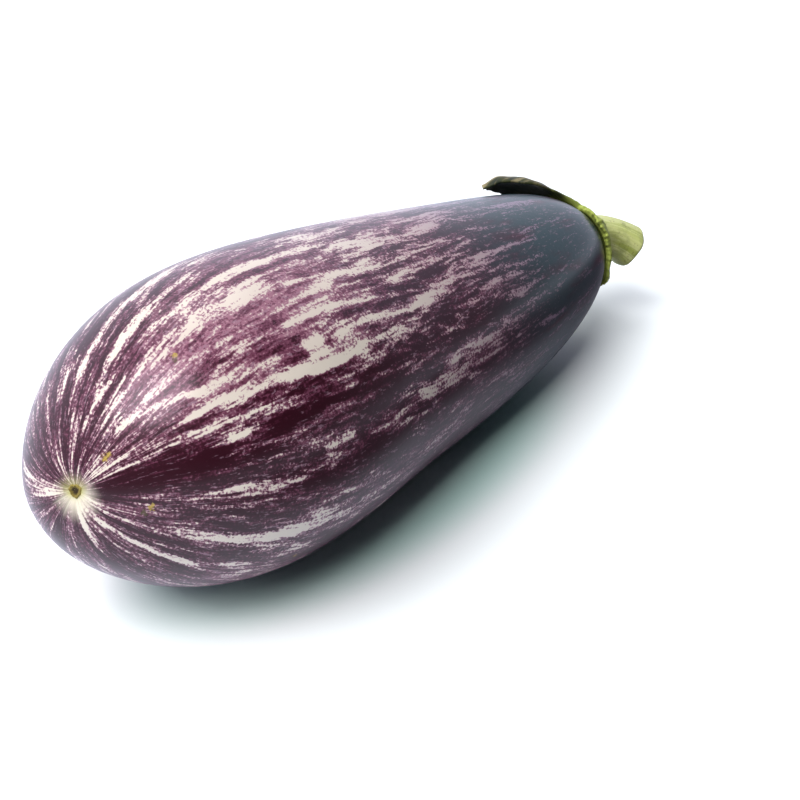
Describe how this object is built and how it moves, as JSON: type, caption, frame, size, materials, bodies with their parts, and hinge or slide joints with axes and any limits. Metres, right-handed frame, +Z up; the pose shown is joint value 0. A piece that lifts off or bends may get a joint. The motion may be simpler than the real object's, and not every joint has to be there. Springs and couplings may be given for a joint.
{
  "type": "eggplant",
  "caption": "Plump striped eggplant lying on its side: mottled purple and cream skin, blossom scar, green calyx with pointed lobes and a short cut stem.",
  "frame": {"origin": "centre of the bounding box's base, at the surface the eggplant lies on", "axes": "+X runs along the fruit from the blossom end to the stem end, +Z is up"},
  "size_m": [0.2442, 0.0862, 0.0859],
  "materials": {
    "skin": "satin",
    "calyx": "matte",
    "stem": "matte"
  },
  "bodies": {
    "root": {"fruit": "skin", "calyx": "calyx", "stem": "stem"}
  },
  "joints": []
}
